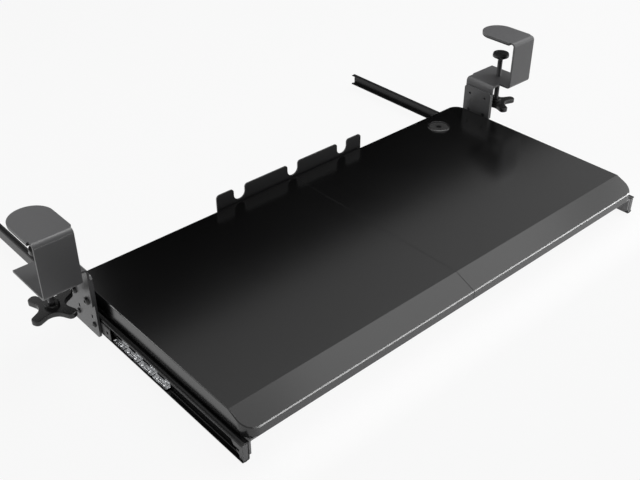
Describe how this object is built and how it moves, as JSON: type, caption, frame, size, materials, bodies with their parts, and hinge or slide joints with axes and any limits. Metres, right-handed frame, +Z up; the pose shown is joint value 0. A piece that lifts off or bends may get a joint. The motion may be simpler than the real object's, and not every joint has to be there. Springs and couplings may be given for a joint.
{
  "type": "keyboard tray under desk",
  "caption": "Clamp-on keyboard tray that slides out from under a desk on ball-bearing runners, with a notched cable rail and a slit cable grommet.",
  "frame": {"origin": "midway between the two clamps, on the plane of the desk's front edge and of its top face", "axes": "+X to the sitter's right along the desk's edge, +Y back under the desk, +Z up"},
  "size_m": [0.867, 0.5825, 0.1769],
  "materials": {
    "board": "black satin laminate",
    "dowel": "plain",
    "black_steel": "fine black powder coat",
    "slide_steel": "smooth black",
    "bright_steel": "bright zinc",
    "screw_steel": "blackened",
    "grommet_plastic": "satin",
    "grommet_rubber": "matte",
    "knob_plastic": "matte",
    "stop_plastic": "satin grey",
    "pad_rubber": "matte"
  },
  "bodies": {
    "clamps": {"left_clamp_body": "black_steel", "right_clamp_body": "black_steel", "left_jaw_pad": "pad_rubber", "right_jaw_pad": "pad_rubber", "left_clamp_nut": "screw_steel", "right_clamp_nut": "screw_steel", "left_hanger_plate": "black_steel", "right_hanger_plate": "black_steel", "left_hanger_screws": "screw_steel", "right_hanger_screws": "screw_steel", "left_slide_inner": "slide_steel", "right_slide_inner": "slide_steel", "left_foot_screws": "screw_steel", "right_foot_screws": "screw_steel"},
    "tray": {"board_left": "board", "board_right": "board", "seam_dowels": "dowel", "splice_plates": "black_steel", "splice_screws": "screw_steel", "rear_rail": "black_steel", "rear_rail_screws": "screw_steel", "grommet_ring": "grommet_plastic", "grommet_membrane": "grommet_rubber", "left_side_angle": "black_steel", "right_side_angle": "black_steel", "left_angle_screws": "screw_steel", "right_angle_screws": "screw_steel", "left_channel_rivets": "screw_steel", "right_channel_rivets": "screw_steel", "left_slide_channel": "slide_steel", "right_slide_channel": "slide_steel", "left_end_stop": "stop_plastic", "right_end_stop": "stop_plastic"},
    "left_cage": {"left_ball_cage": "bright_steel", "left_slide_balls": "bright_steel"},
    "left_pad": {"left_clamp_pad": "screw_steel", "left_pad_rubber": "pad_rubber"},
    "left_screw": {"left_clamp_screw": "screw_steel", "left_clamp_knob": "knob_plastic"},
    "right_cage": {"right_ball_cage": "bright_steel", "right_slide_balls": "bright_steel"},
    "right_pad": {"right_clamp_pad": "screw_steel", "right_pad_rubber": "pad_rubber"},
    "right_screw": {"right_clamp_screw": "screw_steel", "right_clamp_knob": "knob_plastic"}
  },
  "joints": [
    {"name": "tray_slide", "type": "slide", "parent": "clamps", "child": "tray", "axis": [0, 1, 0], "range_m": [0, 0.229]},
    {"name": "left_cage_slide", "type": "slide", "parent": "clamps", "child": "left_cage", "axis": [0, 1, 0], "range_m": [0, 0.1146]},
    {"name": "left_pad_slide", "type": "slide", "parent": "clamps", "child": "left_pad", "axis": [0, 0, 1], "range_m": [-0.028, 0.028]},
    {"name": "left_knob_spin", "type": "hinge", "parent": "left_pad", "child": "left_screw", "pos_m": [-0.4025, 0.039, -0.1], "axis": [0, 0, 1], "range_deg": [-8065, 8065]},
    {"name": "right_cage_slide", "type": "slide", "parent": "clamps", "child": "right_cage", "axis": [0, 1, 0], "range_m": [0, 0.1146]},
    {"name": "right_pad_slide", "type": "slide", "parent": "clamps", "child": "right_pad", "axis": [0, 0, 1], "range_m": [-0.028, 0.028]},
    {"name": "right_knob_spin", "type": "hinge", "parent": "right_pad", "child": "right_screw", "pos_m": [0.4025, 0.039, -0.1], "axis": [0, 0, 1], "range_deg": [-8065, 8065]}
  ],
  "couplings": [
    {"joint": "left_cage_slide", "follows": "tray_slide", "ratio": 0.5},
    {"joint": "left_knob_spin", "follows": "left_pad_slide", "rad_per_m": 5026.5},
    {"joint": "right_cage_slide", "follows": "tray_slide", "ratio": 0.5},
    {"joint": "right_knob_spin", "follows": "right_pad_slide", "rad_per_m": 5026.5}
  ]
}
